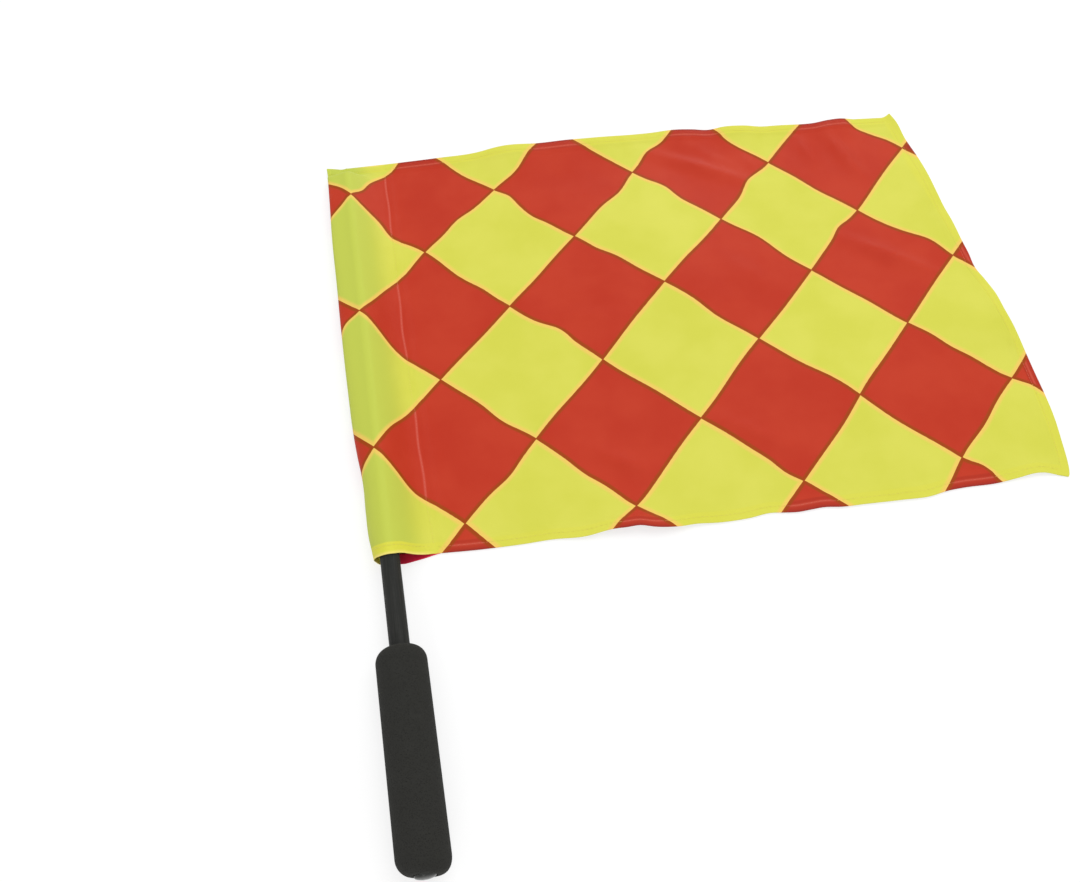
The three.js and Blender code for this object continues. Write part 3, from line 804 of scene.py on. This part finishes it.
def build_grip():
    """The foam, whose lower end is longer on one side."""
    low, high = GRIP
    depth, length = SHOULDER
    bore = POLE_R + GRIP_GAP
    angles = np.linspace(0, math.pi / 2, SHOULDER_STEPS)
    rounded = [(GRIP_R - depth * (1 - math.cos(a)), length * (1 - math.sin(a))) for a in angles]
    end = [(bore, LIP_DEPTHS[1]), (bore + LIP_WIDTH, LIP_DEPTHS[0])] + rounded[::-1]
    outline = [(r, low + d) for r, d in end]
    outline += [(GRIP_R, y) for y in np.linspace(low + length, high - length, GRIP_STEPS)[1:-1]]
    outline += [(r, high - d) for r, d in reversed(end)]
    piece = lathe("foam_grip_body", outline, GRIP_SEGMENTS, closed_ends=False)
    for vertex in piece.data.vertices:
        x, y = (vertex.co.x - ORIGIN[0]) / MM, (vertex.co.y - ORIGIN[1]) / MM
        fade = 1.0 - float(smooth(y, low, low + SLANT_REACH))
        vertex.co.y -= MM * END_SLANT * fade * (1.0 + x / GRIP_R) / 2
    return piece


def build_plug(name, base, way):
    """A plug in the end of the tube at base, whose dome looks along the pole by way."""
    stem = POLE_R - WALL - PLUG_GAP
    top = PLUG_SEAT + PLUG_RIM
    outline = [
        (CENTRE_R, -PLUG_STEM), (stem, -PLUG_STEM), (stem, PLUG_SEAT), (POLE_R - PLUG_BEVEL, PLUG_SEAT),
        (POLE_R, PLUG_SEAT + PLUG_BEVEL), (POLE_R, top - RIM_BEVEL), (POLE_R - RIM_STEP, top),
    ]
    for angle in np.linspace(DOME_START, math.pi / 2, DOME_STEPS):
        radius = max(POLE_R * math.cos(angle) - RIM_STEP, CENTRE_R)
        outline.append((radius, top + (PLUG_DOME - top) * math.sin(angle)))
    placed = [(radius, base + way * along) for radius, along in outline]
    return lathe(name, placed[::way], PLUG_SEGMENTS)


# Materials


class Nodes:
    """Short names for making a material's nodes."""

    def __init__(self, name):
        self.material = bpy.data.materials.new(name)
        self.material.use_nodes = True
        self.tree = self.material.node_tree
        self.shader = self.tree.nodes["Principled BSDF"]
        self.place = 0

    def new(self, kind, **settings):
        node = self.tree.nodes.new(kind)
        self.place += 1
        node.location = (-180 * (self.place % 12) - 200, -160 * (self.place // 12))
        for key, value in settings.items():
            setattr(node, key, value)
        return node

    def wire(self, value, socket):
        if isinstance(value, bpy.types.NodeSocket):
            self.tree.links.new(value, socket)
        else:
            socket.default_value = value

    def math(self, operation, *values):
        node = self.new("ShaderNodeMath", operation=operation)
        for i, value in enumerate(values):
            self.wire(value, node.inputs[i])
        return node.outputs[0]

    def step(self, value, low, high, start=0.0, end=1.0):
        """A soft step from start, where the value is low, to end, where it is high."""
        node = self.new("ShaderNodeMapRange", interpolation_type="SMOOTHSTEP")
        for i, v in enumerate((value, low, high, start, end)):
            self.wire(v, node.inputs[i])
        return node.outputs[0]

    def mix(self, factor, a, b):
        node = self.new("ShaderNodeMix", data_type="RGBA")
        self.wire(factor, node.inputs["Factor"])
        self.wire(a, node.inputs[6])
        self.wire(b, node.inputs[7])
        return node.outputs[2]

    def tint(self, colour, mark, amount, other):
        """The colour, and where the mark is 1 that amount of the other one."""
        return self.mix(self.math("MULTIPLY", mark, amount), colour, other)

    def mark(self, name):
        """A float attribute of the mesh."""
        return self.new("ShaderNodeAttribute", attribute_name=name).outputs["Fac"]

    def noise(self, vector, scale, detail=2.0, rough=0.5):
        node = self.new("ShaderNodeTexNoise")
        self.wire(vector, node.inputs["Vector"])
        node.inputs["Scale"].default_value = scale
        node.inputs["Detail"].default_value = detail
        node.inputs["Roughness"].default_value = rough
        return node.outputs["Fac"]

    def cells(self, vector, scale):
        node = self.new("ShaderNodeTexVoronoi")
        self.wire(vector, node.inputs["Vector"])
        node.inputs["Scale"].default_value = scale
        return node.outputs["Distance"]

    def bump(self, height, distance, normal=None, strength=1.0):
        node = self.new("ShaderNodeBump")
        node.inputs["Strength"].default_value = strength
        node.inputs["Distance"].default_value = distance
        self.wire(height, node.inputs["Height"])
        if normal is not None:
            self.wire(normal, node.inputs["Normal"])
        return node.outputs[0]

    def object_place(self, scale=None):
        """The piece's own coordinates, stretched by the scale."""
        place = self.new("ShaderNodeTexCoord").outputs["Object"]
        if scale is None:
            return place
        node = self.new("ShaderNodeMapping")
        self.wire(place, node.inputs["Vector"])
        node.inputs["Scale"].default_value = scale
        return node.outputs[0]

    def set(self, **values):
        for key, value in values.items():
            self.wire(value, self.shader.inputs[key.replace("_", " ")])
        return self.material


def srgb(r, g, b):
    """A colour written as 0 to 255, as linear light."""
    made = [((c / 255 + 0.055) / 1.055) ** 2.4 if c > 10 else c / 255 / 12.92 for c in (r, g, b)]
    return (*made, 1.0)


# Colours of the print: on the panel from one tone to the other, on the sleeve with painted shade, on folded
# hems on panel and sleeve (the sleeve's red brightened with painted light), a painted highlight along the
# mouth's edge, along the hems' stitches, along the seam's, and painted shade at the cut edges
YELLOWS = (srgb(219, 220, 80), srgb(225, 225, 90))
SLEEVE_SHADED_YELLOW = srgb(203, 214, 85)
HEM_YELLOW = srgb(232, 228, 74)
MOUTH_HIGHLIGHT_YELLOW = srgb(255, 234, 128)
REDS = (srgb(195, 51, 26), srgb(201, 59, 33))
HEM_RED = srgb(150, 34, 22)
SLEEVE_HEM_LIT_RED = srgb(244, 34, 84)
STITCHED_RED = srgb(218, 90, 70)
SEAM_RED = srgb(216, 88, 72)
EDGE_SHADE_RED = srgb(144, 40, 34)
# Lines beside the border of two colours, and where each starts and ends to fade, in millimetres
PEACH = srgb(251, 210, 103)
BROWN = srgb(164, 68, 3)
PEACH_FADE = (1.2, 4.2)
BROWN_FADE_ON_YELLOW = (0.25, 0.45)
BROWN_FADE_ON_RED = (1.15, 2.85)
# Lines that run up to the right are thinner, by this share.
THIN_SHARE = 1.12
# The seam's line, and the part of the mouth's edge left of the seam, which gets the painted highlight, in
# millimetres from it
SEWN_FADE = (0.35, 1.15)
MOUTH_FADE = (-8.0, 3.0)
# The noise that splits the two tones, how uneven the print's lines are, and the weave's pitch
TONE = (0.3, 0.7)
LINE_NOISE = 0.004
WEAVE_PITCH = 0.42


def print_lines(n, uv, a, b):
    """Distance from the nearest border of two colours in millimetres, and 1 where the print is red."""
    noise = n.math("MULTIPLY", n.math("SUBTRACT", n.noise(uv, 14.0), 0.5), LINE_NOISE)
    p = n.math("ADD", n.math("MULTIPLY", n.math("ADD", a, b), 0.5), n.math("ADD", noise, 0.5))
    q = n.math("ADD", n.math("MULTIPLY", n.math("SUBTRACT", a, b), 0.5), n.math("SUBTRACT", 0.5, noise))
    to_line = []
    for value, thin in ((p, 1.0), (q, THIN_SHARE)):
        centred = n.math("ABSOLUTE", n.math("SUBTRACT", n.math("FRACT", value), 0.5))
        to_line.append(n.math("MULTIPLY", n.math("SUBTRACT", 0.5, centred), thin))
    near = n.math("MULTIPLY", n.math("MINIMUM", *to_line), math.sqrt(2) * HALF_A)
    parity = n.math("FLOORED_MODULO", n.math("ADD", n.math("FLOOR", p), n.math("FLOOR", q)), 2.0)
    return near, parity


def print_colour(n, uv, near, parity):
    """The print's colour, with its lines, its hems and its seam, and painted shade, light and highlight on
    the sleeve, its mouth and the cut edges.
    """
    tone = n.step(n.noise(uv, 1.3, detail=3.0), *TONE)
    hollow, doubled, crease, rim, seam = (n.mark(k) for k in ("hollow", "doubled", "crease", "rim", "seam"))
    # Painted highlight: a pale line along the folded edge of the sleeve's mouth.
    mouth_highlight = n.math("MULTIPLY", rim, n.step(seam, *MOUTH_FADE, 1.0, 0.0))
    yellow = n.mix(tone, *YELLOWS)
    # Painted shade: the sleeve's yellow is duller and greener where the cloth drapes over the pole.
    yellow = n.mix(hollow, yellow, SLEEVE_SHADED_YELLOW)
    yellow = n.tint(yellow, doubled, 0.85, HEM_YELLOW)
    yellow = n.tint(yellow, mouth_highlight, 0.9, MOUTH_HIGHLIGHT_YELLOW)
    yellow = n.mix(n.step(near, *PEACH_FADE), PEACH, yellow)
    yellow = n.mix(n.step(near, *BROWN_FADE_ON_YELLOW), BROWN, yellow)
    sewn = n.step(n.math("ABSOLUTE", seam), *SEWN_FADE, 1.0, 0.0)
    # Painted shade: a darker line along the red's cut edges, where the hems turn under.
    panel_edge_shade = n.math("MULTIPLY", rim, n.math("SUBTRACT", 1.0, hollow))
    red = n.mix(tone, *REDS)
    # Painted light: on the sleeve's hems the red is brightened to a crimson inside the mouth.
    red = n.tint(red, doubled, 0.75, n.mix(hollow, HEM_RED, SLEEVE_HEM_LIT_RED))
    red = n.tint(red, crease, 0.75, STITCHED_RED)
    red = n.tint(red, sewn, 0.8, SEAM_RED)
    red = n.tint(red, panel_edge_shade, 0.6, EDGE_SHADE_RED)
    red = n.mix(n.step(near, *BROWN_FADE_ON_RED), BROWN, red)
    return n.mix(parity, yellow, red)


def cloth_material():
    n = Nodes("printed_polyester")
    uv = n.new("ShaderNodeUVMap", uv_map="print").outputs[0]
    split = n.new("ShaderNodeSeparateXYZ")
    n.wire(uv, split.inputs[0])
    a, b = split.outputs[0], split.outputs[1]
    colour = print_colour(n, uv, *print_lines(n, uv, a, b))
    threads = [n.math("SINE", n.math("MULTIPLY", value, 2 * math.pi * half / WEAVE_PITCH))
               for value, half in ((a, HALF_A), (b, HALF_B))]
    weave = n.math("MULTIPLY", *threads)
    slub = n.noise(uv, 160.0)
    slub_shade = n.math("MULTIPLY", n.math("SUBTRACT", slub, 0.5), 0.05)
    shade = n.math("ADD", n.math("MULTIPLY", weave, 0.025), slub_shade)
    bright = n.new("ShaderNodeHueSaturation")
    n.wire(colour, bright.inputs["Color"])
    n.wire(n.math("ADD", 1.0, shade), bright.inputs["Value"])
    fine = n.bump(n.math("ADD", n.math("MULTIPLY", weave, 0.5), slub), distance=0.00003)
    crumple = n.bump(n.noise(uv, 6.0, detail=4.0, rough=0.55), distance=0.0003, normal=fine, strength=0.5)
    rough = n.step(slub, 0.2, 0.8, 0.46, 0.56)
    n.set(Base_Color=bright.outputs[0], Roughness=rough, Normal=crumple)
    n.shader.inputs["Specular IOR Level"].default_value = 0.14
    n.shader.inputs["Sheen Weight"].default_value = 0.02
    n.shader.inputs["Sheen Roughness"].default_value = 0.4
    return n.material


def thread_material():
    """Pale yellow thread, which takes a red tint where it crosses the print's red."""
    n = Nodes("polyester_thread")
    fleck = n.noise(n.object_place(), 2600.0, detail=1.0)
    flecks = n.step(fleck, *TONE)
    plain = n.mix(flecks, srgb(222, 212, 84), srgb(232, 222, 96))
    tinted = n.mix(flecks, srgb(208, 92, 66), srgb(222, 112, 82))
    n.set(Base_Color=n.mix(n.mark("red"), plain, tinted), Roughness=0.6, Normal=n.bump(fleck, 0.00004))
    n.shader.inputs["Sheen Weight"].default_value = 0.2
    return n.material


def foam_material():
    """Black foam with fine open cells, larger pits and a little dust."""
    n = Nodes("foam")
    place = n.object_place()
    open_cells = n.step(n.cells(place, 1500.0), 0.12, 0.42)
    pits = n.step(n.cells(place, 620.0), 0.1, 0.5)
    dust = n.noise(place, 90.0, detail=4.0, rough=0.6)
    colour = n.mix(open_cells, srgb(30, 30, 28), srgb(46, 46, 43))
    colour = n.mix(n.step(dust, 0.52, 0.8, 0.0, 0.45), colour, srgb(58, 58, 55))
    pitted = n.bump(open_cells, distance=0.00012)
    pitted = n.bump(pits, distance=0.0001, normal=pitted)
    pitted = n.bump(n.noise(place, 60.0, detail=3.0), distance=0.0006, normal=pitted)
    n.set(Base_Color=colour, Roughness=n.step(dust, 0.2, 0.8, 0.86, 0.98), Normal=pitted)
    n.shader.inputs["Specular IOR Level"].default_value = 0.2
    return n.material


def pole_material():
    """Matt plastic with faint drawing lines along the pole and a few pale specks."""
    n = Nodes("pole_plastic")
    along = n.noise(n.object_place(scale=(1.0, 0.03, 1.0)), 1400.0, detail=3.0)
    specks = n.noise(n.object_place(), 500.0)
    colour = n.mix(n.step(along, *TONE), srgb(38, 39, 37), srgb(48, 48, 46))
    colour = n.mix(n.step(specks, 0.66, 0.8, 0.0, 0.4), colour, srgb(70, 70, 67))
    n.set(Base_Color=colour, Roughness=n.step(specks, *TONE, 0.5, 0.64), Normal=n.bump(along, 0.00004))
    n.shader.inputs["Specular IOR Level"].default_value = 0.12
    return n.material


def plug_material():
    """Glossy plastic, duller and paler where it is scuffed."""
    n = Nodes("plug_plastic")
    scuffs = n.noise(n.object_place(scale=(1.0, 1.0, 0.3)), 700.0, detail=4.0, rough=0.6)
    colour = n.mix(n.step(scuffs, 0.35, 0.7), srgb(30, 32, 29), srgb(54, 55, 52))
    rough = n.step(scuffs, 0.35, 0.75, 0.10, 0.30)
    n.set(Base_Color=colour, Roughness=rough, Normal=n.bump(scuffs, 0.00006))
    n.shader.inputs["Specular IOR Level"].default_value = 0.35
    return n.material


def dress(piece, material, body, slot, *nodes):
    """Gives a piece its material and its body, and hides the CAD nodes that it stands for. slot is not
    used.
    """
    piece.data.materials.append(material)
    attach(piece, body)
    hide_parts(*nodes)
    return piece


thread = thread_material()
plug = plug_material()
cloth = dress(build_cloth(), cloth_material(), "cloth", "printed_cloth", "flag_cloth")
for name, stitches in build_stitches().items():
    piece = stitches.piece(name + "_stitches")
    dress(piece, thread, "cloth", "sewing_thread", name + "_thread")
dress(build_pole(), pole_material(), "pole", "pole_plastic", "pole_tube")
grip = dress(build_grip(), foam_material(), "pole", "grip_foam", "foam_grip")
dress(build_plug("top_plug_cap", TUBE[1], 1), plug, "pole", "plug_plastic", "pole_top_plug")
dress(build_plug("butt_plug_cap", TUBE[0], -1), plug, "pole", "plug_plastic", "butt_plug")

# Camera: where it stands, in the part's own millimetres, its turns about x, y and z in degrees,
# and its lens and film in millimetres
STAND = (35.19, -242.97, 537.29)
TURNED = (30.4966, -0.8447, -10.2131)
LENS = 33.4065
FILM = 36.0

camera = bpy.data.objects.new("camera", bpy.data.cameras.new("camera"))
bpy.context.scene.collection.objects.link(camera)
bpy.context.scene.camera = camera
facing = Euler([math.radians(angle) for angle in TURNED]).to_matrix().to_4x4()
camera.matrix_world = Matrix.Translation(Vector(in_frame(STAND))) @ facing
camera.data.sensor_width = FILM
camera.data.lens = LENS
camera.data.clip_start = 0.01
camera.data.clip_end = 20.0

# Floor: how far it reaches and how far under the flag it lies, in metres, its grey where light
# lands on it and where it is looked at, and the glow that makes it white to look at
FLOOR_REACH = 6
FLOOR_DROP = 0.0003
LIT_GREY = 0.8
SEEN_GREY = 0.34
SEEN_GLOW = 0.72
# How bright the room is as a light
ROOM_LIGHT = 0.60


def looked_at(tree):
    """1 for rays from the camera, also by way of gloss or glass, and 0 for rays of light."""
    path = tree.nodes.new("ShaderNodeLightPath")
    most = path.outputs["Is Camera Ray"]
    for kind in ("Is Glossy Ray", "Is Transmission Ray"):
        node = tree.nodes.new("ShaderNodeMath")
        node.operation = "MAXIMUM"
        tree.links.new(most, node.inputs[0])
        tree.links.new(path.outputs[kind], node.inputs[1])
        most = node.outputs[0]
    return most


def floor_material():
    n = Nodes("pale_floor")
    n.shader.inputs["Roughness"].default_value = 1.0
    n.shader.inputs["Specular IOR Level"].default_value = 0.0
    n.shader.inputs["Emission Color"].default_value = (1, 1, 1, 1)
    seen = looked_at(n.tree)
    greys = [(grey, grey, grey, 1) for grey in (LIT_GREY, SEEN_GREY)]
    return n.set(Base_Color=n.mix(seen, *greys), Emission_Strength=n.math("MULTIPLY", seen, SEEN_GLOW))


def build_floor():
    far, low = FLOOR_REACH, -FLOOR_DROP
    mesh = bpy.data.meshes.new("floor")
    mesh.from_pydata([(-far, -far, low), (far, -far, low), (far, far, low), (-far, far, low)], [],
                     [(0, 1, 2, 3)])
    mesh.materials.append(floor_material())
    return add("floor", mesh)


def build_room():
    """A white room, dimmer as a light than it looks."""
    world = bpy.data.worlds.new("studio")
    bpy.context.scene.world = world
    world.use_nodes = True
    tree = world.node_tree
    background = tree.nodes["Background"]
    background.inputs["Color"].default_value = (1, 1, 1, 1)
    level = tree.nodes.new("ShaderNodeMapRange")
    tree.links.new(looked_at(tree), level.inputs["Value"])
    level.inputs["To Min"].default_value = ROOM_LIGHT
    level.inputs["To Max"].default_value = 1.0
    tree.links.new(level.outputs[0], background.inputs["Strength"])


def lamp(name, place, size, energy):
    """A round lamp that points at the middle of the flag."""
    data = bpy.data.lights.new(name, "AREA")
    data.shape = "DISK"
    data.size = size
    data.energy = energy
    made = bpy.data.objects.new(name, data)
    bpy.context.scene.collection.objects.link(made)
    made.location = place
    made.rotation_mode = "QUATERNION"
    made.rotation_quaternion = (-Vector(place)).to_track_quat("-Z", "Y")


build_floor()
build_room()
lamp("key", place=(0.35, 0.4, 2.0), size=1.6, energy=14.6)
lamp("far", place=(0.75, 2.0, 0.7), size=0.9, energy=6.2)
lamp("fill", place=(-0.5, -1.5, 0.9), size=0.5, energy=3.4)
bpy.context.scene.view_settings.view_transform = "Standard"
